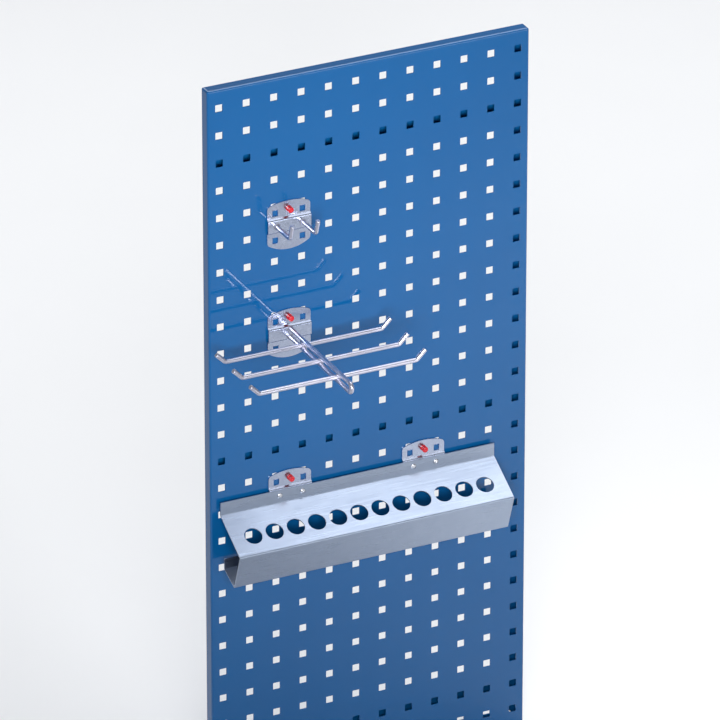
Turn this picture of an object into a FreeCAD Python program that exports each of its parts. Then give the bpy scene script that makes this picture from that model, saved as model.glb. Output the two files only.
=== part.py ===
import FreeCAD, Part
import math
import os

from FreeCAD import Vector

# Perforated tool wall: a folded steel panel with a grid of square holes, three stiffeners behind
# it, and three holders that lift off it: a double hook, an arm with three cross rods, and a
# slanted rail with round holes for tools. The hook and the arm have one hooked plate each, and
# the rail is riveted to two.
#
# Millimetres. +X right, -Y out towards the user, +Z up. The origin lies on the wall plane, at the
# middle of the four wall screws.

# --- Perforated panel ---
hole_pitch = 38.0          # square holes, centre to centre, both ways
hole_columns = 12
hole_rows = 26
hole_size = 10.0
hole_corner_radius = 1.0
side_margin = 16.0         # outer side face to the first column's centres
end_margin = 25.0          # outer top or bottom face to the first row's centres
panel_depth = 18.0         # wall plane to front face
panel_sheet = 1.5
fold_radius = 2.5          # outside radius of the panel's folds
lip_width = 15.0           # flange returned along the wall
lip_mitre_gap = 0.8        # slit between two lips at a corner
origin_row = 13            # hole row at Z = 0, counted from the top row, which is 0

# --- Stiffeners, hat sections spot welded behind a hole row each ---
stiffener_rows = {"upper_stiffener": 2, "middle_stiffener": 13, "lower_stiffener": 24}
stiffener_crown = 30.0     # outside width of the face on the wall
stiffener_foot = 9.0       # width of each foot on the panel
stiffener_sheet = 1.5
stiffener_bend = 1.0       # inside radius
stiffener_end_gap = 0.5    # to the panel's side lips
wall_screw_hole = 5.5
wall_screw_column = 1      # hole column in front of the screws, counted in from each side

# --- Holder plate, the same pressing on all four holders ---
plate_sheet = 2.0
plate_side = 11.0          # hook column to the plate's side edge
plate_top_side = 1.0       # plate's top above its upper hole row, at the sides
plate_top_middle = 6.8     # and in the middle
plate_foot_side = 13.0     # plate's foot below its lower hole row, at the sides
plate_foot_middle = 22.6   # and in the middle
plate_corner = 6.0
plate_bend = 0.8           # inside radius
plate_gap = 0.1            # to the panel's front face
raise_depth = 3.0          # how far the middle band stands forward
raise_top = 15.0           # band's upper step, below the upper hole row
raise_height = 20.5        # from the upper step to the lower one, over both slopes
raise_slope = 2.5          # height of each slope
attach_drop = 25.5         # rods and rivets below the upper hole row

# --- Tabs that hook into the square holes ---
tab_width = 7.0
tab_bend = 0.2             # inside radius
tab_seat_gap = 0.1         # tab to the lower edge of its hole
tab_back_gap = 0.3         # tab's hook to the panel's rear face
tab_drop = 6.0             # hook below the lower edge of its hole
window_relief = 0.4        # slit on each side of the tab
window_height = 9.3

# --- Lock pin, a plastic plug that presses on the panel ---
pin_drop = 4.3             # below the upper hole row
pin_head = 8.0
pin_head_length = 7.6
pin_head_round = 1.4
pin_stem = 5.0
pin_stem_clearance = 0.1   # radial, in the plate
pin_seat_gap = 0.1         # head to plate
pin_dimple = 3.0           # diameter of the moulded dimple in the head
pin_dimple_depth = 1.0

# --- Round wire of the hooks and arms ---
wire = 6.0
wire_hole_clearance = 0.05 # radial, in the plate
wire_end_back = 1.0        # welded end behind the raised band
wire_end_round = 0.9

# --- Double hook ---
hook_row = 4
hook_spacing = 36.0
hook_reach = 38.5          # plate's raised face to the upright's middle line
hook_tip_rise = 20.5
hook_tip_lean = 6.5        # tip further out than the bend
hook_bend = 5.0            # middle-line radius

# --- Arm holder ---
arm_row = 8
arm_reach = 187.0          # panel's front face to the loop's outer end
arm_wire_gap = 0.05        # between a cross rod and each wire of the loop
cross_rod_out = {"inner_cross_rod": 45.0, "middle_cross_rod": 95.0, "outer_cross_rod": 145.0}
cross_rod_straight = 219.0 # bend to bend
cross_rod_tip = 12.5       # each bent end reaches this far sideways and as far up
cross_rod_bend = 4.0       # middle-line radius

# --- Tool rail ---
rail_row = 14
rail_sheet = 1.5
rail_bend = 1.0            # inside radius
rail_flange_top = 17.5     # below the upper hole row
rail_flange = 18.5
rail_top = 67.7            # slanted face with the tool holes
rail_top_angle = 30.0      # below level
rail_front = 53.5
rail_front_angle = 19.2    # leaning in from plumb
rail_floor = 32.7
rail_floor_angle = 23.4    # rising towards the wall
rail_lip = 14.5
tool_hole = 24.0
tool_holes = 12
tool_pitch = 30.0
tool_end_margin = 30.0
tool_hole_down = 40.0      # upper fold to the holes' centres, along the slant
rivet_spacing = 32.0
rivet_shank = 4.0
rivet_head = 7.5
rivet_head_height = 1.6
rivet_tail = 6.0
rivet_tail_height = 1.2
rivet_clearance = 0.05     # radial, in both sheets

# --- Where the holders hang: the gap between two columns, counted from the left column ---
holder_gap = {"hook": 2, "arm": 2, "left_rail": 2, "right_rail": 7}

# --- Worked out from the sizes above ---
panel_width = (hole_columns - 1) * hole_pitch + 2 * side_margin
panel_top = origin_row * hole_pitch + end_margin
panel_bottom = (origin_row + 1 - hole_rows) * hole_pitch - end_margin
panel_front = -panel_depth
plate_back = panel_front - plate_gap
plate_front = plate_back - plate_sheet
raised_front = plate_front - raise_depth
plate_half = hole_pitch / 2 + plate_side
rail_length = (tool_holes - 1) * tool_pitch + 2 * tool_end_margin
overrun = 5.0              # cutting tools pass this far beyond what they cut
wire_start = raised_front + plate_sheet + wire_end_back
out = Vector(0, -1, 0)


def column_x(column):
    """X of a hole column, counted from the left one, which is 0."""
    return (column - (hole_columns - 1) / 2) * hole_pitch


def row_z(row):
    """Z of a hole row, counted from the top one, which is 0."""
    return (origin_row - row) * hole_pitch


def gap_x(gap):
    """X of the middle between two hole columns."""
    return column_x(gap + 0.5)


def box(x0, x1, y0, y1, z0, z1):
    """A block between two corners."""
    return Part.makeBox(x1 - x0, y1 - y0, z1 - z0, Vector(x0, y0, z0))


def corner_arc(before, corner, after, radius):
    """The arc that rounds a corner: its ends, its centre, and the directions in, along and on."""
    ahead = (corner - before).normalize()
    onward = (after - corner).normalize()
    half_turn = ahead.getAngle(onward) / 2
    tangent = radius * math.tan(half_turn)
    inward = (onward - ahead).normalize()
    centre = corner + inward * (radius / math.cos(half_turn))
    return corner - ahead * tangent, corner + onward * tangent, centre, inward, ahead, onward


def wire_path(points, radius):
    """Straight runs joined by tangent arcs of one radius."""
    edges, start = [], points[0]
    for before, corner, after in zip(points, points[1:], points[2:]):
        enter, leave, centre, inward, _, _ = corner_arc(before, corner, after, radius)
        edges.append(Part.LineSegment(start, enter).toShape())
        edges.append(Part.Arc(enter, centre - inward * radius, leave).toShape())
        start = leave
    edges.append(Part.LineSegment(start, points[-1]).toShape())
    return Part.Wire(edges)


def strip_side(points, radius, offset, side):
    """One side of a bent strip: edges at an offset from its middle line, in the plane X = 0."""
    edges, start = [], None
    for before, corner, after in zip(points, points[1:], points[2:]):
        enter, leave, centre, inward, ahead, onward = corner_arc(before, corner, after, radius)
        turn = 1 if side.cross(ahead).dot(inward) > 0 else -1
        first, last = side.cross(ahead) * offset, side.cross(onward) * offset
        start = start or points[0] + first
        bow = centre - inward * (radius - turn * offset)
        edges.append(Part.LineSegment(start, enter + first).toShape())
        edges.append(Part.Arc(enter + first, bow, leave + last).toShape())
        start = leave + last
        final = points[-1] + last
    edges.append(Part.LineSegment(start, final).toShape())
    return edges


def bent_strip(middle_line, sheet, inside_radius, x0, x1):
    """A folded sheet of one thickness, from its middle line's (y, z) corners, along X."""
    points = [Vector(x0, y, z) for y, z in middle_line]
    radius, side = inside_radius + sheet / 2, Vector(1, 0, 0)
    front = strip_side(points, radius, sheet / 2, side)
    back = strip_side(points, radius, -sheet / 2, side)
    ends = [
        Part.LineSegment(front[i].Vertexes[i].Point, back[i].Vertexes[i].Point).toShape()
        for i in (0, -1)
    ]
    outline = Part.Wire(Part.__sortEdges__(front + back + ends))
    return Part.Face(outline).extrude(Vector(x1 - x0, 0, 0))


def rod(points, bend):
    """Round wire along straight runs and bends, its two ends rounded over."""
    path = wire_path(points, bend)
    heading = (points[1] - points[0]).normalize()
    section = Part.Wire(Part.makeCircle(wire / 2, points[0], heading))
    solid = path.makePipeShell([section], True, False)
    rims = [e for e in solid.Edges if isinstance(e.Curve, Part.Circle)
            and abs(e.Curve.Radius - wire / 2) < 1e-6
            and min((e.Curve.Center - points[0]).Length, (e.Curve.Center - points[-1]).Length) < 1e-6]
    return solid.makeFillet(wire_end_round, rims)


def rounded_box(x0, x1, y0, y1, z0, z1, radius):
    """A block with all its edges rounded."""
    block = box(x0, x1, y0, y1, z0, z1)
    return block.makeFillet(radius, block.Edges)


def square_hole(x, z):
    """The cutter of one square hole in the panel's face."""
    half = hole_size / 2
    prism = box(x - half, x + half, panel_front - overrun, panel_front + panel_sheet + overrun,
                z - half, z + half)
    return prism.makeFillet(hole_corner_radius, edges_along(prism, Vector(0, 1, 0)))


def edges_along(shape, direction):
    """The straight edges that run in a direction."""
    return [e for e in shape.Edges if isinstance(e.Curve, Part.Line)
            and e.tangentAt(e.FirstParameter).cross(direction).Length < 1e-6]


def make_panel():
    """A tray of one sheet: perforated front, four flanges, and lips returned along the wall."""
    side, inner = panel_width / 2, panel_width / 2 - panel_sheet
    tray = rounded_box(-side, side, panel_front, 0, panel_bottom, panel_top, fold_radius)
    hollow = rounded_box(-inner, inner, panel_front + panel_sheet, -panel_sheet,
                         panel_bottom + panel_sheet, panel_top - panel_sheet,
                         fold_radius - panel_sheet)
    opening = box(lip_width - side, side - lip_width, -panel_sheet - overrun, overrun,
                  panel_bottom + lip_width, panel_top - lip_width)
    slit_length = (lip_width - fold_radius) * math.sqrt(2)
    slits = []
    for sx in (-1, 1):
        for corner_z, sz in ((panel_bottom, -1), (panel_top, 1)):
            slit = box(-overrun, slit_length, -panel_sheet - overrun, overrun,
                       -lip_mitre_gap / 2, lip_mitre_gap / 2)
            slit.rotate(Vector(0, 0, 0), Vector(0, 1, 0), -math.degrees(math.atan2(sz, sx)))
            slit.translate(Vector(sx * (side - lip_width), 0, corner_z - sz * lip_width))
            slits.append(slit)
    holes = [square_hole(column_x(i), row_z(j))
             for i in range(hole_columns) for j in range(hole_rows)]
    return tray.cut([hollow, opening] + slits).cut(holes)


def make_stiffener(row, drilled):
    """A hat section: feet on the panel's rear face, crown on the wall plane behind one hole row."""
    half = stiffener_crown / 2 - stiffener_sheet / 2
    foot = stiffener_crown / 2 + stiffener_foot
    on_panel = panel_front + panel_sheet + stiffener_sheet / 2
    on_wall = -stiffener_sheet / 2
    z = row_z(row)
    line = [(on_panel, z + foot), (on_panel, z + half), (on_wall, z + half),
            (on_wall, z - half), (on_panel, z - half), (on_panel, z - foot)]
    end = panel_width / 2 - lip_width - stiffener_end_gap
    hat = bent_strip(line, stiffener_sheet, stiffener_bend, -end, end)
    if not drilled:
        return hat
    screws = (column_x(wall_screw_column), column_x(hole_columns - 1 - wall_screw_column))
    drills = [Part.makeCylinder(wall_screw_hole / 2, stiffener_sheet + 2 * overrun,
                                Vector(x, overrun, z), out) for x in screws]
    return hat.cut(drills)


def plate_outline(x, z):
    """The plate's front view as a block: arched top and foot, plumb sides, rounded corners."""
    top, foot = z + plate_top_side, z - hole_pitch - plate_foot_side
    crest, keel = z + plate_top_middle, z - hole_pitch - plate_foot_middle
    y = raised_front - overrun
    corners = [Vector(x - plate_half, y, top), Vector(x + plate_half, y, top),
               Vector(x + plate_half, y, foot), Vector(x - plate_half, y, foot)]
    edges = [Part.Arc(corners[0], Vector(x, y, crest), corners[1]).toShape(),
             Part.LineSegment(corners[1], corners[2]).toShape(),
             Part.Arc(corners[2], Vector(x, y, keel), corners[3]).toShape(),
             Part.LineSegment(corners[3], corners[0]).toShape()]
    block = Part.Face(Part.Wire(edges)).extrude(Vector(0, -y + overrun, 0))
    return block.makeFillet(plate_corner, edges_along(block, Vector(0, 1, 0)))


def tab_middle(z):
    """Height of a tab's middle line, where the tab rests on the lower edge of its hole."""
    return z - hole_size / 2 + tab_seat_gap + plate_sheet / 2


def make_tab(x, z):
    """A tab lanced out of the plate: through the square hole, then down behind the panel."""
    start = plate_back - plate_sheet / 2
    behind = panel_front + panel_sheet + tab_back_gap + plate_sheet / 2
    middle = tab_middle(z)
    line = [(start, middle + 2 * plate_sheet), (start, middle), (behind, middle),
            (behind, z - hole_size / 2 - tab_drop)]
    return bent_strip(line, plate_sheet, tab_bend, x - tab_width / 2, x + tab_width / 2)


def make_plate(x, row, bores):
    """One holder plate with its windows, tabs, pin hole, and (x, z, diameter) bores for its load."""
    z = row_z(row)
    flat = plate_back - plate_sheet / 2
    raised = flat - raise_depth
    step_top, step_foot = z - raise_top, z - raise_top - raise_height
    line = [(flat, z + plate_top_middle + overrun), (flat, step_top),
            (raised, step_top - raise_slope), (raised, step_foot + raise_slope),
            (flat, step_foot), (flat, z - hole_pitch - plate_foot_middle - overrun)]
    pressing = bent_strip(line, plate_sheet, plate_bend, x - plate_half, x + plate_half)
    plate = pressing.common(plate_outline(x, z))
    spots = [(x + side * hole_pitch / 2, z - drop) for side in (-1, 1) for drop in (0, hole_pitch)]
    half = tab_width / 2 + window_relief
    deep, shallow = raised_front - overrun, plate_back + overrun
    cuts = []
    for tab_x, tab_z in spots:
        top = tab_middle(tab_z) + tab_bend + plate_sheet / 2
        cuts.append(box(tab_x - half, tab_x + half, deep, shallow, top - window_height, top))
    holes = bores + [(x, z - pin_drop, pin_stem + 2 * pin_stem_clearance)]
    for bore_x, bore_z, diameter in holes:
        cuts.append(Part.makeCylinder(diameter / 2, shallow - deep, Vector(bore_x, shallow, bore_z), out))
    return plate.cut(cuts).fuse([make_tab(*spot) for spot in spots]).removeSplitter()


def make_lock_pin(x, row):
    """A round plastic plug: its stem fills the plate's hole, its head stands out to be gripped."""
    z = row_z(row) - pin_drop
    head_back = plate_front - pin_seat_gap
    head = Part.makeCylinder(pin_head / 2, pin_head_length, Vector(x, head_back, z), out)
    tip = head_back - pin_head_length
    head = head.makeFillet(pin_head_round, [e for e in head.Edges if abs(e.CenterOfMass.y - tip) < 1e-6])
    dimple = Part.makeCone(pin_dimple / 2, pin_dimple / 4, pin_dimple_depth, Vector(x, tip, z), -out)
    stem_end = panel_front - plate_gap
    stem = Part.makeCylinder(pin_stem / 2, stem_end - head_back, Vector(x, stem_end, z), out)
    return head.cut(dimple).fuse(stem)


def wire_bore(x, z):
    """(x, z, diameter) of a plate's hole for a wire."""
    return x, z, wire + 2 * wire_hole_clearance


def make_hook(x):
    """One plain hook: straight out of the plate, then up and a little outwards."""
    z = row_z(hook_row) - attach_drop
    bend_y = raised_front - hook_reach
    points = [Vector(x, wire_start, z), Vector(x, bend_y, z),
              Vector(x, bend_y - hook_tip_lean, z + hook_tip_rise)]
    return rod(points, hook_bend)


def make_arm_loop(x):
    """A hairpin in the plumb plane: out along the top wire, round the end, back along the lower."""
    middle = row_z(arm_row) - attach_drop
    half = wire + arm_wire_gap
    turn = panel_front - arm_reach + wire / 2 + half
    upper, lower = middle + half, middle - half
    path = Part.Wire([
        Part.LineSegment(Vector(x, wire_start, upper), Vector(x, turn, upper)).toShape(),
        Part.Arc(Vector(x, turn, upper), Vector(x, turn - half, middle), Vector(x, turn, lower)).toShape(),
        Part.LineSegment(Vector(x, turn, lower), Vector(x, wire_start, lower)).toShape()])
    section = Part.Wire(Part.makeCircle(wire / 2, Vector(x, wire_start, upper), out))
    return path.makePipeShell([section], True, False)


def make_cross_rod(x, reach):
    """A rod held across the loop, between its two wires, with both its ends bent up."""
    z = row_z(arm_row) - attach_drop
    y = panel_front - reach
    half = cross_rod_straight / 2
    tip = half + cross_rod_tip
    points = [Vector(x - tip, y, z + cross_rod_tip), Vector(x - half, y, z),
              Vector(x + half, y, z), Vector(x + tip, y, z + cross_rod_tip)]
    return rod(points, cross_rod_bend)


def polar(length, degrees_above_level, towards_user):
    """(y, z) steps of a run at an angle; towards_user is 1 for out and -1 for in."""
    angle = math.radians(degrees_above_level)
    return -towards_user * length * math.cos(angle), length * math.sin(angle)


def rail_line():
    """The rail section's middle line: flange, slanted top, front, floor and inner lip."""
    y, z = raised_front - rail_sheet / 2, row_z(rail_row) - rail_flange_top
    line = [(y, z)]
    runs = [polar(rail_flange, -90, 1), polar(rail_top, -rail_top_angle, 1),
            polar(rail_front, rail_front_angle - 90, -1), polar(rail_floor, rail_floor_angle, -1),
            polar(rail_lip, 90, 1)]
    for dy, dz in runs:
        y, z = y + dy, z + dz
        line.append((y, z))
    return line


def rivet_spots(x):
    """(x, z) of the two rivets of the bracket at x."""
    z = row_z(rail_row) - attach_drop
    return [(x - rivet_spacing / 2, z), (x + rivet_spacing / 2, z)]


def rivet_bores(x):
    """(x, z, diameter) of the rivet holes of the bracket at x."""
    diameter = rivet_shank + 2 * rivet_clearance
    return [(rivet_x, z, diameter) for rivet_x, z in rivet_spots(x)]


def make_rail(x, bracket_xs):
    """The folded rail, with its round tool holes and the rivet holes in its flange."""
    line = rail_line()
    start = x - rail_length / 2
    rail = bent_strip(line, rail_sheet, rail_bend, start, start + rail_length)
    dy, dz = polar(tool_hole_down, -rail_top_angle, 1)
    hole_y, hole_z = line[1][0] + dy, line[1][1] + dz
    normal_y, normal_z = polar(1, 90 - rail_top_angle, 1)
    normal = Vector(0, normal_y, normal_z)
    cuts = []
    for n in range(tool_holes):
        centre = Vector(start + tool_end_margin + n * tool_pitch, hole_y, hole_z)
        cuts.append(Part.makeCylinder(tool_hole / 2, 2 * overrun, centre - normal * overrun, normal))
    for bracket_x in bracket_xs:
        for rivet_x, z, diameter in rivet_bores(bracket_x):
            start_point = Vector(rivet_x, raised_front + overrun, z)
            cuts.append(Part.makeCylinder(diameter / 2, 2 * overrun, start_point, out))
    return rail.cut(cuts)


def make_rivets(x):
    """Two domed rivets through the rail's flange and the bracket's raised band."""
    face = raised_front - rail_sheet
    back = raised_front + plate_sheet
    rivets = []
    for rivet_x, z in rivet_spots(x):
        base = Vector(rivet_x, back + rivet_tail_height, z)
        tail = Part.makeCylinder(rivet_tail / 2, rivet_tail_height, base, out)
        shank = Part.makeCylinder(rivet_shank / 2, back - face, Vector(rivet_x, back, z), out)
        radius = (rivet_head ** 2 / 4 + rivet_head_height ** 2) / (2 * rivet_head_height)
        ball = Part.makeSphere(radius, Vector(rivet_x, face - rivet_head_height + radius, z))
        half = rivet_head
        dome = ball.common(box(rivet_x - half, rivet_x + half, face - rivet_head, face,
                               z - half, z + half))
        rivets.append(dome.fuse([shank, tail]).removeSplitter())
    return Part.makeCompound(rivets)


def build_all():
    """Every piece by its name."""
    nodes = {"panel": make_panel()}
    for name, row in stiffener_rows.items():
        nodes[name] = make_stiffener(row, drilled=name != "middle_stiffener")

    hook_x, arm_x = gap_x(holder_gap["hook"]), gap_x(holder_gap["arm"])
    hook_xs = {"left_hook": hook_x - hook_spacing / 2, "right_hook": hook_x + hook_spacing / 2}
    hook_z, arm_z = row_z(hook_row) - attach_drop, row_z(arm_row) - attach_drop
    hook_bores = [wire_bore(x, hook_z) for x in hook_xs.values()]
    nodes["hook_plate"] = make_plate(hook_x, hook_row, hook_bores)
    for name, x in hook_xs.items():
        nodes[name] = make_hook(x)
    nodes["hook_lock_pin"] = make_lock_pin(hook_x, hook_row)

    half = wire + arm_wire_gap
    arm_bores = [wire_bore(arm_x, arm_z + side * half) for side in (-1, 1)]
    nodes["arm_plate"] = make_plate(arm_x, arm_row, arm_bores)
    nodes["arm_loop"] = make_arm_loop(arm_x)
    for name, reach in cross_rod_out.items():
        nodes[name] = make_cross_rod(arm_x, reach)
    nodes["arm_lock_pin"] = make_lock_pin(arm_x, arm_row)

    bracket_xs = {side: gap_x(holder_gap[side + "_rail"]) for side in ("left", "right")}
    nodes["tool_rail"] = make_rail(sum(bracket_xs.values()) / 2, bracket_xs.values())
    for side, x in bracket_xs.items():
        nodes[side + "_rail_bracket"] = make_plate(x, rail_row, rivet_bores(x))
        nodes[side + "_rail_rivets"] = make_rivets(x)
        nodes[side + "_rail_lock_pin"] = make_lock_pin(x, rail_row)
    return nodes


os.makedirs("parts", exist_ok=True)
for name, shape in build_all().items():
    shape.exportStep("parts/" + name + ".step")
    print(name, len(shape.Solids), "solid(s)", round(shape.Volume / 1000, 2), "cm3", shape.isValid())
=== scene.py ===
"""Looks of the pegboard tool wall: a painted panel with a double hook, an arm holder and a rail.

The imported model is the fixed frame. This script gives each of its pieces the finish of the real
material, models the lock pins, the rivets and the welds in detail, and sets up a plain studio.
"""

import logging
import math
from abc import ABC, abstractmethod
from collections.abc import Iterable, Iterator, Sequence
from contextlib import contextmanager
from dataclasses import dataclass, field
from enum import Enum

import bmesh
import bpy
from mathutils import Matrix, Vector


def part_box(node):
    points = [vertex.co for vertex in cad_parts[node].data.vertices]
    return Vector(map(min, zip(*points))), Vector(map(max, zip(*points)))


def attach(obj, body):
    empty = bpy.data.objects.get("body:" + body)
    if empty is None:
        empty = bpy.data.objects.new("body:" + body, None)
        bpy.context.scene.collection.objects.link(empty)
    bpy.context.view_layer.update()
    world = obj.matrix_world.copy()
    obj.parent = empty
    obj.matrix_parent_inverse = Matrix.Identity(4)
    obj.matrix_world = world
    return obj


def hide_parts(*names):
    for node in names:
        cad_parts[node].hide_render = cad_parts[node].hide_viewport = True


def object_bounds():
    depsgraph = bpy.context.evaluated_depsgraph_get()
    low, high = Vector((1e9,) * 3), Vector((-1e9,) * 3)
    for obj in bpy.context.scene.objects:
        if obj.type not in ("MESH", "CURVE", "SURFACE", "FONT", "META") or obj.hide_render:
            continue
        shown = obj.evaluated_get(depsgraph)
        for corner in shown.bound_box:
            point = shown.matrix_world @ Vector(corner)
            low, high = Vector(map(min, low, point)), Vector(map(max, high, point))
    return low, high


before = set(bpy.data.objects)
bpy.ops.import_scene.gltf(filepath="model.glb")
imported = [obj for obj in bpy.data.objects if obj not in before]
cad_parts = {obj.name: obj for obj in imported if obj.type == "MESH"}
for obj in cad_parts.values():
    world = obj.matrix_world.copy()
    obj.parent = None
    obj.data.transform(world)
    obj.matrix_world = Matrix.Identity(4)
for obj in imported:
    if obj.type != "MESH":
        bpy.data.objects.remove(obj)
CAD_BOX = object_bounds()

MM = 0.001
WELD_DISTANCE = 0.001 * MM
OUTWARDS = Vector((0.0, -1.0, 0.0))
LOG = logging.getLogger("tool_wall")


class Slot(Enum):
    """The record's material slots, which are passed along with the new pieces but not given to them."""

    PANEL = "panel_paint"
    WIRE = "zinc_wire"
    RIVET = "rivet_steel"
    PIN = "lock_plastic"


class Lay(Enum):
    """The direction that a wire or a sheet was drawn or rolled in, as (x, y, z) shares of its grain."""

    ACROSS = (0.02, 1.0, 1.0)
    OUT = (1.0, 0.02, 1.0)
    NONE = (1.0, 1.0, 1.0)


# --- Small tools -------------------------------------------------------------------------------


def linear(colour: str) -> tuple[float, float, float, float]:
    """Turns an sRGB hex colour into the linear one that a shader takes.

    Args:
        colour: six hex digits after a hash.

    Returns:
        Red, green, blue and a full alpha.
    """
    channels = [int(colour[i : i + 2], 16) / 255 for i in (1, 3, 5)]
    red, green, blue = (c / 12.92 if c <= 0.04045 else ((c + 0.055) / 1.055) ** 2.4 for c in channels)
    return red, green, blue, 1.0


def per_metre(size_mm: float) -> float:
    """The scale of a pattern whose features are this many millimetres apart."""
    return 1 / (size_mm * MM)


def add_node(tree: bpy.types.NodeTree, kind: str, inputs: dict[str | int, object] | None = None,
             **settings: object) -> bpy.types.Node:
    """Adds one node with its settings, values and links.

    Args:
        tree: the node tree.
        kind: the node's type.
        inputs: for each input's name or number, a value or the output to link to it.
        **settings: the node's own settings.

    Returns:
        The node.
    """
    node = tree.nodes.new(kind)
    for name, value in settings.items():
        setattr(node, name, value)
    for name, value in (inputs or {}).items():
        if isinstance(value, bpy.types.NodeSocket):
            tree.links.new(value, node.inputs[name])
        else:
            node.inputs[name].default_value = value
    return node


def quarter_turn(steps: int = 6) -> list[float]:
    """The angles of a quarter round in an outline, in radians, from 0 to a right angle."""
    return [math.pi / 2 * step / steps for step in range(steps + 1)]


def deselect() -> None:
    """Leaves every object unselected, because an operator acts on all that is selected."""
    bpy.ops.object.select_all(action="DESELECT")


@contextmanager
def edit_mode(piece: bpy.types.Object) -> Iterator[None]:
    """Edit mode on one piece alone, with all of it selected at first.

    Args:
        piece: the mesh to edit.
    """
    deselect()
    bpy.context.view_layer.objects.active = piece
    piece.select_set(True)
    bpy.ops.object.mode_set(mode="EDIT")
    bpy.ops.mesh.select_all(action="SELECT")
    yield
    bpy.ops.object.mode_set(mode="OBJECT")


def select_faces(piece: bpy.types.Object, wanted: Iterable[int]) -> None:
    """Selects faces by number, in edit mode, and nothing else.

    Args:
        piece: the piece that is being edited.
        wanted: the numbers of its faces.
    """
    mesh = bmesh.from_edit_mesh(piece.data)
    mesh.faces.ensure_lookup_table()
    bpy.ops.mesh.select_all(action="DESELECT")
    for number in wanted:
        mesh.faces[number].select_set(True)
    bmesh.update_edit_mesh(piece.data)


def turned(name: str, profile: Sequence[tuple[float, float]], centre: Vector, axis: Vector,
           steps: int = 32) -> bpy.types.Object:
    """Turns a piece: its outline is extruded point by point and spun once round the axis.

    Args:
        name: the piece's name.
        profile: (radius, distance along the axis) of the outline's points, in millimetres.
        centre: the point on the axis where the distance is 0, in metres.
        axis: the axis, which the distance grows along.
        steps: faces round the piece.

    Returns:
        The piece, at the origin and with its place in its mesh.
    """
    deselect()
    bpy.ops.mesh.primitive_plane_add(size=MM, location=centre)
    piece = bpy.context.active_object
    piece.name = piece.data.name = name
    bpy.ops.object.transform_apply(location=True, rotation=True, scale=True)
    aside = axis.orthogonal().normalized()
    points = [(aside * radius + axis * along) * MM for radius, along in profile]
    with edit_mode(piece):
        bpy.ops.mesh.merge(type="CENTER")
        bpy.ops.transform.translate(value=points[0])
        for start, end in zip(points, points[1:]):
            bpy.ops.mesh.extrude_region_move(TRANSFORM_OT_translate={"value": end - start})
        bpy.ops.mesh.select_all(action="SELECT")
        bpy.ops.mesh.spin(steps=steps, angle=math.tau, center=centre, axis=axis)
        bpy.ops.mesh.select_all(action="SELECT")
        bpy.ops.mesh.remove_doubles(threshold=WELD_DISTANCE)
        bpy.ops.mesh.normals_make_consistent(inside=False)
    return piece


def smooth(piece: bpy.types.Object, sharp_deg: float = 35.0) -> bpy.types.Object:
    """Shades a piece smooth, apart from its sharp edges.

    Args:
        piece: the piece.
        sharp_deg: the angle past which an edge stays sharp, in degrees.

    Returns:
        The same piece.
    """
    deselect()
    bpy.context.view_layer.objects.active = piece
    piece.select_set(True)
    bpy.ops.object.shade_smooth_by_angle(angle=math.radians(sharp_deg))
    return piece


def copied(piece: bpy.types.Object, name: str, shift: Vector) -> bpy.types.Object:
    """Copies a piece, with a mesh of its own.

    Args:
        piece: the piece to copy.
        name: the copy's name.
        shift: how far the copy stands from the piece, in metres.

    Returns:
        The copy, at the origin and with its place in its mesh.
    """
    twin = piece.copy()
    twin.data = piece.data.copy()
    twin.name = twin.data.name = name
    twin.data.transform(Matrix.Translation(shift))
    bpy.context.scene.collection.objects.link(twin)
    return twin


def joined(name: str, pieces: Sequence[bpy.types.Object]) -> bpy.types.Object:
    """Joins pieces into the first of them.

    Args:
        name: the joined piece's name.
        pieces: the pieces, each of which is one closed mesh or more.

    Returns:
        The joined piece.
    """
    deselect()
    for piece in pieces:
        piece.select_set(True)
    bpy.context.view_layer.objects.active = pieces[0]
    bpy.ops.object.join()
    pieces[0].name = pieces[0].data.name = name
    return pieces[0]


# --- Finishes ----------------------------------------------------------------------------------


@dataclass(frozen=True)
class Finish(ABC):
    """A surface finish, which makes its own material."""

    name: str

    def material(self) -> bpy.types.Material:
        """Makes the material, with one Principled shader wired to its output.

        Returns:
            The material.
        """
        made = bpy.data.materials.new(self.name)
        made.use_nodes = True
        tree = made.node_tree
        tree.nodes.clear()
        place = add_node(tree, "ShaderNodeTexCoord").outputs["Object"]
        shader = add_node(tree, "ShaderNodeBsdfPrincipled")
        add_node(tree, "ShaderNodeOutputMaterial", {"Surface": shader.outputs["BSDF"]})
        self.shade(tree, place, shader)
        return made

    @abstractmethod
    def shade(self, tree: bpy.types.NodeTree, place: bpy.types.NodeSocket,
              shader: bpy.types.Node) -> None:
        """Sets and wires the shader.

        Args:
            tree: the material's node tree.
            place: the object coordinates, in metres.
            shader: the Principled shader.
        """


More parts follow.
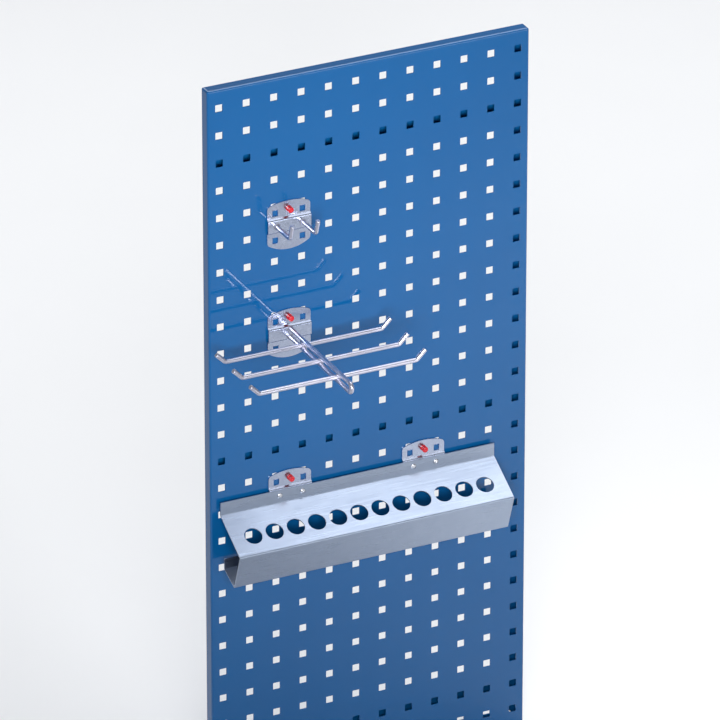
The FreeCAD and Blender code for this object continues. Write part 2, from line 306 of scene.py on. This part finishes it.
@dataclass(frozen=True)
class StovedEnamel(Finish):
    """Stoved blue enamel on sheet steel.

    The eye sees a deep even blue under a hard clear gloss, faint orange peel, and a sheet that is
    not quite flat, so that what it mirrors bends a little. Real peel is about 1 mm wide, which is
    too fine to show, so it is drawn coarser.
    """

    colour: str = "#08548C"
    shade_colour: str = "#074E84"
    drift_mm: float = 160.0
    ior: float = 1.52
    gloss_roughness: float = 0.045
    peel_mm: float = 5.0
    peel_depth_mm: float = 0.004
    wave_mm: float = 110.0
    wave_depth_mm: float = 0.12

    def shade(self, tree: bpy.types.NodeTree, place: bpy.types.NodeSocket,
              shader: bpy.types.Node) -> None:
        """Wires the enamel's even colour, faint peel and wave.

        Args:
            tree: the material's node tree.
            place: the object coordinates, in metres.
            shader: the Principled shader.
        """
        drift = add_node(tree, "ShaderNodeTexNoise",
                         {"Vector": place, "Scale": per_metre(self.drift_mm), "Detail": 2.0})
        tint = add_node(tree, "ShaderNodeMix", {"Factor": drift.outputs["Fac"]}, data_type="RGBA")
        tint.inputs["A"].default_value = linear(self.colour)
        tint.inputs["B"].default_value = linear(self.shade_colour)
        wave = add_node(tree, "ShaderNodeTexNoise",
                        {"Vector": place, "Scale": per_metre(self.wave_mm), "Detail": 0.0})
        wavy = add_node(tree, "ShaderNodeBump", {"Height": wave.outputs["Fac"], "Strength": 1.0,
                                                 "Distance": self.wave_depth_mm * MM})
        peel = add_node(tree, "ShaderNodeTexNoise",
                        {"Vector": place, "Scale": per_metre(self.peel_mm), "Detail": 1.0})
        peeled = add_node(tree, "ShaderNodeBump", {"Height": peel.outputs["Fac"], "Strength": 1.0,
                                                   "Distance": self.peel_depth_mm * MM,
                                                   "Normal": wavy.outputs["Normal"]})
        tree.links.new(tint.outputs["Result"], shader.inputs["Base Color"])
        tree.links.new(peeled.outputs["Normal"], shader.inputs["Normal"])
        shader.inputs["Roughness"].default_value = self.gloss_roughness
        shader.inputs["IOR"].default_value = self.ior


@dataclass(frozen=True)
class ZincPlate(Finish):
    """Bright zinc plating on mild steel, blue passivated.

    The eye sees a light metal with a cool cast, which mirrors softly; its grain follows the
    direction that the wire was drawn or the sheet was rolled in. Real drawing lines are about
    0.1 mm wide, which is too fine to show, so the grain is drawn coarser.
    """

    colour: str = "#D9D8E6"
    dull_colour: str = "#C3C3D2"
    lay: Lay = Lay.NONE
    roughness: tuple[float, float] = (0.25, 0.33)
    grain_mm: float = 1.6
    grain_depth_mm: float = 0.001
    cloud_mm: float = 14.0

    def shade(self, tree: bpy.types.NodeTree, place: bpy.types.NodeSocket,
              shader: bpy.types.Node) -> None:
        """Wires the plating's clouds and its grain.

        Args:
            tree: the material's node tree.
            place: the object coordinates, in metres.
            shader: the Principled shader.
        """
        along = add_node(tree, "ShaderNodeMapping", {"Vector": place, "Scale": self.lay.value})
        cloud = add_node(tree, "ShaderNodeTexNoise",
                         {"Vector": place, "Scale": per_metre(self.cloud_mm), "Detail": 3.0})
        tint = add_node(tree, "ShaderNodeMix", {"Factor": cloud.outputs["Fac"]}, data_type="RGBA")
        tint.inputs["A"].default_value = linear(self.colour)
        tint.inputs["B"].default_value = linear(self.dull_colour)
        grain = add_node(tree, "ShaderNodeTexNoise", {"Vector": along.outputs["Vector"], "Detail": 3.0,
                                                      "Scale": per_metre(self.grain_mm)})
        low, high = self.roughness
        matt = add_node(tree, "ShaderNodeMapRange", {"Value": grain.outputs["Fac"], "From Min": 0.3,
                                                     "From Max": 0.7, "To Min": low, "To Max": high})
        ridges = add_node(tree, "ShaderNodeBump", {"Height": grain.outputs["Fac"], "Strength": 1.0,
                                                   "Distance": self.grain_depth_mm * MM})
        tree.links.new(tint.outputs["Result"], shader.inputs["Base Color"])
        tree.links.new(matt.outputs["Result"], shader.inputs["Roughness"])
        tree.links.new(ridges.outputs["Normal"], shader.inputs["Normal"])
        shader.inputs["Metallic"].default_value = 1.0


@dataclass(frozen=True)
class PinNylon(Finish):
    """Moulded red nylon.

    The eye sees a strong red that glows a little where it is thin, with a smooth moulded gloss.
    """

    colour: str = "#C81E2C"
    flow_colour: str = "#B81826"
    flow_mm: float = 2.5
    ior: float = 1.53
    gloss_roughness: float = 0.2
    skin_mm: float = 0.4
    skin_depth_mm: float = 0.01
    glow_weight: float = 0.15
    glow_mm: tuple[float, float, float] = (1.2, 0.3, 0.2)

    def shade(self, tree: bpy.types.NodeTree, place: bpy.types.NodeSocket,
              shader: bpy.types.Node) -> None:
        """Wires the nylon's faint flow marks, its skin and its glow.

        Args:
            tree: the material's node tree.
            place: the object coordinates, in metres.
            shader: the Principled shader.
        """
        flow = add_node(tree, "ShaderNodeTexNoise",
                        {"Vector": place, "Scale": per_metre(self.flow_mm), "Detail": 2.0})
        tint = add_node(tree, "ShaderNodeMix", {"Factor": flow.outputs["Fac"]}, data_type="RGBA")
        tint.inputs["A"].default_value = linear(self.colour)
        tint.inputs["B"].default_value = linear(self.flow_colour)
        skin = add_node(tree, "ShaderNodeTexNoise",
                        {"Vector": place, "Scale": per_metre(self.skin_mm), "Detail": 1.0})
        grain = add_node(tree, "ShaderNodeBump", {"Height": skin.outputs["Fac"], "Strength": 0.4,
                                                  "Distance": self.skin_depth_mm * MM})
        tree.links.new(tint.outputs["Result"], shader.inputs["Base Color"])
        tree.links.new(grain.outputs["Normal"], shader.inputs["Normal"])
        shader.inputs["Roughness"].default_value = self.gloss_roughness
        shader.inputs["IOR"].default_value = self.ior
        shader.inputs["Subsurface Weight"].default_value = self.glow_weight
        shader.inputs["Subsurface Radius"].default_value = [depth * MM for depth in self.glow_mm]
        shader.inputs["Subsurface Scale"].default_value = 1.0


@dataclass(frozen=True)
class StudioPaper(Finish):
    """Matt white background paper, even and without gloss."""

    colour: str = "#F1F1F1"
    pulp_colour: str = "#EEEEEE"
    pulp_mm: float = 300.0
    roughness: float = 0.95

    def shade(self, tree: bpy.types.NodeTree, place: bpy.types.NodeSocket,
              shader: bpy.types.Node) -> None:
        """Wires a paper tone that is just uneven enough to be real.

        Args:
            tree: the material's node tree.
            place: the object coordinates, in metres.
            shader: the Principled shader.
        """
        pulp = add_node(tree, "ShaderNodeTexNoise", {"Vector": place, "Scale": per_metre(self.pulp_mm)})
        tint = add_node(tree, "ShaderNodeMix", {"Factor": pulp.outputs["Fac"]}, data_type="RGBA")
        tint.inputs["A"].default_value = linear(self.colour)
        tint.inputs["B"].default_value = linear(self.pulp_colour)
        tree.links.new(tint.outputs["Result"], shader.inputs["Base Color"])
        shader.inputs["Roughness"].default_value = self.roughness


class Finishes:
    """The finished materials, one for each surface of the object."""

    def __init__(self) -> None:
        """Makes every material once."""
        self.enamel = StovedEnamel("stoved_enamel_on_steel").material()
        # Pressed plates: greyer than the wire, with a cloudy spangle.
        self.sheet = ZincPlate("bright_zinc_plated_sheet", colour="#C0C8DC", dull_colour="#ADB6CC",
                               roughness=(0.2, 0.3)).material()
        # Drawn wire: the brightest metal, with streaks along each length.
        self.wire_across = ZincPlate("bright_zinc_plated_wire_across", lay=Lay.ACROSS).material()
        self.wire_out = ZincPlate("bright_zinc_plated_wire_out", lay=Lay.OUT).material()
        # The rail's rolled sheet: a bluish satin with rolling lines along its length.
        self.rail = ZincPlate("satin_zinc_coated_sheet", colour="#A4AFC1", dull_colour="#99A5B9",
                              lay=Lay.ACROSS, roughness=(0.26, 0.36), grain_mm=1.2,
                              grain_depth_mm=0.003).material()
        # Headed rivets: a neutral grey, burnished by the setting tool.
        self.rivet = ZincPlate("zinc_plated_steel_rivet", colour="#D6D7DB", dull_colour="#C6C8CE",
                               roughness=(0.2, 0.3), grain_mm=0.6).material()
        # Welds: plated over, but rougher and duller than the drawn wire.
        self.weld = ZincPlate("zinc_plated_weld", colour="#BDBDCC", dull_colour="#9FA0AE",
                              roughness=(0.3, 0.5), grain_mm=0.8, grain_depth_mm=0.03).material()
        self.nylon = PinNylon("moulded_red_nylon").material()
        self.paper = StudioPaper("matt_white_paper").material()


def dress(node: str, material: bpy.types.Material) -> None:
    """Gives a CAD node its finish and leaves its shape alone.

    Args:
        node: the CAD node.
        material: the material for all of its slots.
    """
    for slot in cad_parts[node].material_slots:
        slot.material = material
    LOG.info("%s keeps its CAD shape, in %s", node, material.name)


def place(piece: bpy.types.Object, body: str, slot: Slot, material: bpy.types.Material,
          *replaced: str) -> None:
    """Puts a new piece on its body, in its material, in the place of the nodes it replaces.

    Args:
        piece: the finished piece.
        body: the CAD body that it moves with.
        slot: the record's slot for its finish; not used.
        material: its material.
        *replaced: CAD nodes that it stands for.
    """
    piece.data.materials.clear()
    piece.data.materials.append(material)
    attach(piece, body)
    if replaced:
        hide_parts(*replaced)
    LOG.info("%s rides on %s, %d faces", piece.name, body, len(piece.data.polygons))


# --- Sub-assemblies ----------------------------------------------------------------------------


@dataclass
class LockPin:
    """A red plug that is pressed into its plate: collar, ribbed waist, domed head with a dimple.

    The sizes are in millimetres. The slack is how far a face may be off the waist or off upright
    and still count as one of the waist's.
    """

    node: str
    body: str
    stem_length: float = 2.0
    stem_share: float = 0.62
    collar: float = 1.3
    edge: float = 0.2
    waist_radius: float = 3.2
    waist_slope: float = 0.35
    head_round: float = 1.5
    head_rim: float = 0.3
    head_slope: float = 0.6
    dimple_radius: float = 1.5
    dimple_depth: float = 0.9
    rib_count: int = 12
    rib_margin: float = 0.12
    rib_depth: float = 0.3
    slack: float = 0.1
    steps: int = 48

    def build(self, finishes: Finishes) -> None:
        """Turns the pin inside its CAD node's box and replaces the node.

        Args:
            finishes: the materials.
        """
        low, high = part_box(self.node)
        radius = (high.x - low.x) / 2 / MM
        length = (high.y - low.y) / MM
        head = length - self.stem_length
        shoulder = head - self.head_round - self.head_rim
        stem = self.stem_share * radius
        centre = Vector(((low.x + high.x) / 2, low.y + head * MM, (low.z + high.z) / 2))
        profile = [(0.0, -self.stem_length), (stem, -self.stem_length), (stem, 0.0),
                   (radius - self.edge, 0.0), (radius, self.edge),
                   (radius, self.collar - self.edge), (radius - self.edge, self.collar),
                   (self.waist_radius, self.collar + self.waist_slope),
                   (self.waist_radius, shoulder - self.head_slope), (radius - self.edge / 2, shoulder)]
        for angle in quarter_turn():
            profile.append((radius - self.head_round * (1 - math.cos(angle)),
                            head - self.head_round * (1 - math.sin(angle))))
        profile += [(self.dimple_radius, head), (self.dimple_radius * 0.8, head - self.dimple_depth * 0.6),
                    (self.dimple_radius * 0.4, head - self.dimple_depth), (0.0, head - self.dimple_depth)]
        name = self.node.replace("lock_pin", "lock_pin_moulding")
        pin = turned(name, profile, centre, OUTWARDS, self.steps)
        with edit_mode(pin):
            self.press_ribs(pin, centre)
        place(smooth(pin), self.body, Slot.PIN, finishes.nylon, self.node)

    def press_ribs(self, pin: bpy.types.Object, centre: Vector) -> None:
        """Sinks every other pair of the waist's faces, so that ribs stand between them.

        Args:
            pin: the turned pin, in edit mode.
            centre: the point on its axis in the plane of its collar, in metres.
        """
        grooves = []
        rib_angle = math.tau / self.rib_count
        for face in bmesh.from_edit_mesh(pin.data).faces:
            away = face.calc_center_median() - centre
            on_waist = abs(math.hypot(away.x, away.z) / MM - self.waist_radius) < self.slack
            upright = abs(face.normal.y) < self.slack
            between_ribs = math.atan2(away.z, away.x) % rib_angle < rib_angle / 2
            if on_waist and upright and between_ribs:
                grooves.append(face.index)
        select_faces(pin, grooves)
        bpy.ops.mesh.inset(thickness=self.rib_margin * MM, depth=-self.rib_depth * MM)


@dataclass
class BlindRivets:
    """The two blind rivets of a bracket: domed heads, with the hollow that their mandrels leave.

    The sizes are in millimetres, and the tail is the end that spreads behind the bracket.
    """

    side: str
    shank_radius: float = 1.9
    head_height: float = 1.6
    head_radius: float = 3.7
    head_rim: float = 0.15
    crown_width: float = 0.5
    mandrel_radius: float = 1.1
    mandrel_edge: float = 0.1
    mandrel_depth: float = 0.8
    tail_radius: float = 3.0
    tail_height: float = 1.2
    tail_chamfer: tuple[float, float] = (0.5, 0.4)
    steps: int = 40

    def build(self, finishes: Finishes) -> None:
        """Turns the rivets inside their CAD node's box and replaces the node.

        Args:
            finishes: the materials.
        """
        node = self.side + "_rail_rivets"
        low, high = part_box(node)
        length = (high.y - low.y) / MM
        spacing = high.x - low.x - 2 * self.head_radius * MM
        first = Vector((low.x + self.head_radius * MM, high.y, (low.z + high.z) / 2))
        dome = length - self.head_height
        rim = dome + self.head_rim
        profile = [(0.0, 0.0), (self.tail_radius - self.tail_chamfer[0], 0.0),
                   (self.tail_radius, self.tail_chamfer[1]), (self.tail_radius, self.tail_height),
                   (self.shank_radius, self.tail_height), (self.shank_radius, dome),
                   (self.head_radius, dome), (self.head_radius, rim)]
        crown = self.mandrel_radius + self.crown_width
        for angle in quarter_turn()[1:]:
            profile.append((crown + (self.head_radius - crown) * math.cos(angle),
                            rim + (length - rim) * math.sin(angle)))
        profile += [(self.mandrel_radius + self.mandrel_edge, length),
                    (self.mandrel_radius, length - self.mandrel_edge),
                    (self.mandrel_radius, length - self.mandrel_depth), (0.0, length - self.mandrel_depth)]
        left = turned("rivet", profile, first, OUTWARDS, self.steps)
        right = copied(left, "rivet_copy", Vector((spacing, 0.0, 0.0)))
        pair = joined(self.side + "_rail_blind_rivets", [left, right])
        place(smooth(pair), "rail_holder", Slot.RIVET, finishes.rivet, node)


@dataclass
class WeldBead:
    """A fillet weld all round a wire where it enters its plate, with its ripples.

    The sizes are in millimetres. The bead bites into the wire, so that no gap shows between them.
    """

    wire_radius: float = 3.0
    bite: float = 0.1
    leg: float = 1.5
    toe: float = 0.12
    ripples: int = 14
    ripple_share: float = 0.07
    steps: int = 56

    def ring(self, name: str, centre: Vector) -> bpy.types.Object:
        """Turns one bead on a plate's face and pulls its ripples out.

        Args:
            name: the bead's name.
            centre: the point where the wire's middle line meets the face.

        Returns:
            The bead, a closed ring.
        """
        inner, leg = self.wire_radius - self.bite, self.leg
        profile = [(inner, 0.0), (inner + leg, 0.0), (inner + leg * 0.96, self.toe),
                   (inner + leg * 0.62, leg * 0.42), (inner + leg * 0.3, leg * 0.76),
                   (inner + self.toe, leg), (inner, leg), (inner, 0.0)]
        bead = turned(name, profile, centre, OUTWARDS, self.steps)
        for point in bead.data.vertices:
            away = point.co - centre
            around = math.hypot(away.x, away.z) / MM
            ripple = 1 + self.ripple_share * math.cos(self.ripples * math.atan2(away.z, away.x))
            if around > self.wire_radius + self.bite:
                share = (inner + (around - inner) * ripple) / around
                point.co.x, point.co.z = centre.x + away.x * share, centre.z + away.z * share
        return bead


@dataclass
class PerforatedPanel:
    """The folded panel with its three stiffeners, and the spot welds on the stiffeners' feet.

    The sizes are in millimetres. Each spot is a shallow dish with a raised rim, and its root
    reaches into the sheet.
    """

    stiffeners: tuple[str, ...] = ("upper_stiffener", "middle_stiffener", "lower_stiffener")
    stiffener_sheet: float = 1.5
    foot_middle: float = 4.3
    spot_pitch: float = 76.0
    spot_radius: float = 2.6
    spot_floor: float = 0.05
    spot_rim: float = 0.3
    rim_width: float = 0.5
    spot_root: float = 0.2
    spot_steps: int = 24

    def build(self, finishes: Finishes) -> None:
        """Dresses the panel and its stiffeners and adds the spot welds.

        Args:
            finishes: the materials.
        """
        dress("panel", finishes.enamel)
        for stiffener in self.stiffeners:
            dress(stiffener, finishes.enamel)
            self.spot_welds(stiffener, finishes)

    def spot_welds(self, stiffener: str, finishes: Finishes) -> None:
        """Adds the row of pressed spots on each foot of one stiffener.

        Args:
            stiffener: the stiffener's CAD node.
            finishes: the materials.
        """
        low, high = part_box(stiffener)
        radius, rim = self.spot_radius, self.spot_rim
        outer = radius + 2 * self.rim_width
        profile = [(0.0, self.spot_floor), (radius * 0.6, self.spot_floor),
                   (radius * 0.8, 2 * self.spot_floor), (radius, rim), (radius + self.rim_width, rim),
                   (outer, 0.0), (outer, -self.spot_root), (0.0, -self.spot_root)]
        columns = int((high.x - low.x) / MM // self.spot_pitch)
        start = -(columns - 1) / 2 * self.spot_pitch
        first = Vector((start * MM, low.y + self.stiffener_sheet * MM, low.z + self.foot_middle * MM))
        spot = turned("spot", profile, first, -OUTWARDS, self.spot_steps)
        spots = [spot]
        for column in range(columns):
            for lift in (0.0, high.z - low.z - 2 * self.foot_middle * MM):
                if column or lift:
                    shift = Vector((column * self.spot_pitch * MM, 0.0, lift))
                    spots.append(copied(spot, "spot_copy", shift))
        row = joined(stiffener.replace("stiffener", "spot_welds"), spots)
        place(smooth(row), "panel", Slot.PANEL, finishes.enamel)


@dataclass
class HookHolder:
    """The plate with two plain hooks, welded into it."""

    hooks: tuple[str, ...] = ("left_hook", "right_hook")
    bead: WeldBead = field(default_factory=WeldBead)

    def build(self, finishes: Finishes) -> None:
        """Dresses the holder, welds its hooks and makes its lock pin.

        Args:
            finishes: the materials.
        """
        dress("hook_plate", finishes.sheet)
        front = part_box("hook_plate")[0].y
        beads = []
        for hook in self.hooks:
            dress(hook, finishes.wire_out)
            low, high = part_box(hook)
            centre = Vector(((low.x + high.x) / 2, front, low.z + self.bead.wire_radius * MM))
            beads.append(self.bead.ring(hook + "_bead", centre))
        place(smooth(joined("hook_weld_beads", beads)), "hook_holder", Slot.WIRE, finishes.weld)
        LockPin("hook_lock_pin", "hook_lock").build(finishes)


@dataclass
class ArmHolder:
    """The plate with a hairpin arm and three cross rods, welded where they cross.

    The sizes are in millimetres, and a nugget's size is measured from its middle.
    """

    rods: tuple[str, ...] = ("inner_cross_rod", "middle_cross_rod", "outer_cross_rod")
    bead: WeldBead = field(default_factory=WeldBead)
    nugget_size: tuple[float, float, float] = (3.6, 2.6, 1.3)
    nugget_jitter: float = 0.12
    nugget_seed: int = 5
    nugget_steps: tuple[int, int] = (20, 12)

    def build(self, finishes: Finishes) -> None:
        """Dresses the holder, welds its wires and makes its lock pin.

        Args:
            finishes: the materials.
        """
        dress("arm_plate", finishes.sheet)
        dress("arm_loop", finishes.wire_out)
        for rod in self.rods:
            dress(rod, finishes.wire_across)
        low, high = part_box("arm_loop")
        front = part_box("arm_plate")[0].y
        wire = self.bead.wire_radius * MM
        roots = [self.bead.ring(f"root_{n}", Vector(((low.x + high.x) / 2, front, z)))
                 for n, z in enumerate((low.z + wire, high.z - wire))]
        place(smooth(joined("arm_weld_beads", roots)), "arm_holder", Slot.WIRE, finishes.weld)
        nuggets = [self.nugget(rod, side) for rod in self.rods for side in (-1, 1)]
        place(smooth(joined("cross_rod_welds", nuggets)), "arm_holder", Slot.WIRE, finishes.weld)
        LockPin("arm_lock_pin", "arm_lock").build(finishes)

    def nugget(self, rod: str, side: int) -> bpy.types.Object:
        """The metal squeezed out where a cross rod is pressed into one wire of the loop.

        Args:
            rod: the cross rod's CAD node.
            side: 1 for the wire above the rod and -1 for the one below.

        Returns:
            The nugget, a flattened and uneven lens in the notch between the two wires.
        """
        low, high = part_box(rod)
        above = self.bead.wire_radius * (1 + side) * MM
        touch = Vector(((low.x + high.x) / 2, (low.y + high.y) / 2, low.z + above))
        around, along = self.nugget_steps
        deselect()
        bpy.ops.mesh.primitive_uv_sphere_add(segments=around, ring_count=along, radius=MM, location=touch)
        nugget = bpy.context.active_object
        bpy.ops.object.transform_apply(location=True, rotation=True, scale=True)
        with edit_mode(nugget):
            bpy.ops.transform.resize(value=self.nugget_size, center_override=touch)
            bpy.ops.transform.vertex_random(offset=self.nugget_jitter * MM, normal=1.0,
                                            seed=self.nugget_seed + side)
        return nugget


@dataclass
class ToolRail:
    """The slanted rail with its twelve tool holes, riveted to two brackets."""

    sides: tuple[str, ...] = ("left", "right")

    def build(self, finishes: Finishes) -> None:
        """Dresses the rail and its brackets and makes the rivets and the lock pins.

        Args:
            finishes: the materials.
        """
        dress("tool_rail", finishes.rail)
        for side in self.sides:
            dress(side + "_rail_bracket", finishes.sheet)
            BlindRivets(side).build(finishes)
            LockPin(side + "_rail_lock_pin", side + "_rail_lock").build(finishes)


# --- Studio ------------------------------------------------------------------------------------


@dataclass(frozen=True)
class Softbox:
    """A soft rectangular lamp, aimed at a point. Places are in metres, from the object's middle."""

    name: str
    place: tuple[float, float, float]
    aim: tuple[float, float, float]
    size: tuple[float, float]
    watts: float
    spread_deg: float = 180.0

    def build(self, centre: Vector) -> None:
        """Hangs the lamp.

        Args:
            centre: the object's middle, in metres.
        """
        data = bpy.data.lights.new(self.name, "AREA")
        data.shape = "RECTANGLE"
        data.size, data.size_y = self.size
        data.energy = self.watts
        data.spread = math.radians(self.spread_deg)
        lamp = bpy.data.objects.new(self.name, data)
        lamp.location = centre + Vector(self.place)
        lamp.rotation_mode = "QUATERNION"
        lamp.rotation_quaternion = (Vector(self.aim) - Vector(self.place)).to_track_quat("-Z", "Y")
        lamp.visible_camera = False
        bpy.context.scene.collection.objects.link(lamp)


@dataclass
class Studio:
    """A pale paper floor, soft lamps and a dim room.

    The key lights the panel's face, the fill the folds that face right, the top one the slanted
    rail, the floor one the part of the floor that the face mirrors, and the backdrop one the floor
    and the rear.
    """

    floor_side: float = 60.0
    floor_parts: int = 8
    room_colour: str = "#C9CED6"
    room_strength: float = 0.5
    lamps: tuple[Softbox, ...] = (
        Softbox("key_softbox", (-0.9, -2.0, 0.8), (-0.03, 0.0, 0.38), (0.8, 0.8), 6.6, 51.0),
        Softbox("fill_softbox", (1.0, -2.4, 0.1), (0.0, 0.0, 0.2), (0.9, 0.7), 1.0, 60.0),
        Softbox("top_softbox", (0.6, 0.0, 1.5), (0.3, 0.0, 0.0), (1.0, 0.8), 1.0, 60.0),
        Softbox("floor_softbox", (1.4, -0.7, 1.2), (1.4, -0.7, 0.0), (0.5, 0.5), 9.0, 90.0),
        Softbox("backdrop_softbox", (0.9, 1.9, 2.3), (0.7, 1.3, -0.5), (2.4, 2.4), 72.0),
    )

    def build(self, finishes: Finishes) -> None:
        """Lays the floor, hangs the lamps and lights the room.

        Args:
            finishes: the materials.
        """
        low, high = CAD_BOX
        centre = (low + high) / 2
        deselect()
        bpy.ops.mesh.primitive_grid_add(x_subdivisions=self.floor_parts, y_subdivisions=self.floor_parts,
                                        size=self.floor_side, location=(centre.x, centre.y, low.z))
        floor = bpy.context.active_object
        floor.name = "paper_floor"
        bpy.ops.object.transform_apply(location=True, rotation=True, scale=True)
        floor.data.materials.append(finishes.paper)
        for lamp in self.lamps:
            lamp.build(centre)
        world = bpy.data.worlds.new("studio_room")
        world.use_nodes = True
        world.node_tree.nodes.clear()
        glow = add_node(world.node_tree, "ShaderNodeBackground",
                        {"Color": linear(self.room_colour), "Strength": self.room_strength})
        add_node(world.node_tree, "ShaderNodeOutputWorld", {"Surface": glow.outputs["Background"]})
        bpy.context.scene.world = world
        bpy.context.scene.view_settings.view_transform = "Standard"


@dataclass
class Viewpoint:
    """A long lens to the left of the panel and above it, aimed a little over its middle.

    The aim is measured from the middle of the object's box, on the wall plane.
    """

    azimuth_deg: float = -25.88
    elevation_deg: float = 26.27
    distance: float = 11.394
    lens_mm: float = 446.6
    sensor_mm: float = 36.0
    aim_mm: tuple[float, float, float] = (-6.9, -18.0, 82.8)

    def build(self) -> None:
        """Makes the camera and hands it to the scene."""
        low, high = CAD_BOX
        middle = (low + high) / 2
        aim = Vector((middle.x, high.y, middle.z)) + Vector(self.aim_mm) * MM
        azimuth, elevation = math.radians(self.azimuth_deg), math.radians(self.elevation_deg)
        back = Vector((math.sin(azimuth) * math.cos(elevation), -math.cos(azimuth) * math.cos(elevation),
                       math.sin(elevation)))
        data = bpy.data.cameras.new("studio_camera")
        data.lens = self.lens_mm
        data.sensor_width = self.sensor_mm
        camera = bpy.data.objects.new("studio_camera", data)
        camera.location = aim + back * self.distance
        camera.rotation_mode = "QUATERNION"
        camera.rotation_quaternion = (-back).to_track_quat("-Z", "Y")
        bpy.context.scene.collection.objects.link(camera)
        bpy.context.scene.camera = camera


def main() -> None:
    """Builds the object's looks, then the studio and the camera."""
    logging.basicConfig(level=logging.INFO, format="%(name)s: %(message)s")
    finishes = Finishes()
    for assembly in (PerforatedPanel(), HookHolder(), ArmHolder(), ToolRail()):
        assembly.build(finishes)
    Studio().build(finishes)
    Viewpoint().build()


if __name__ == "__main__":
    main()
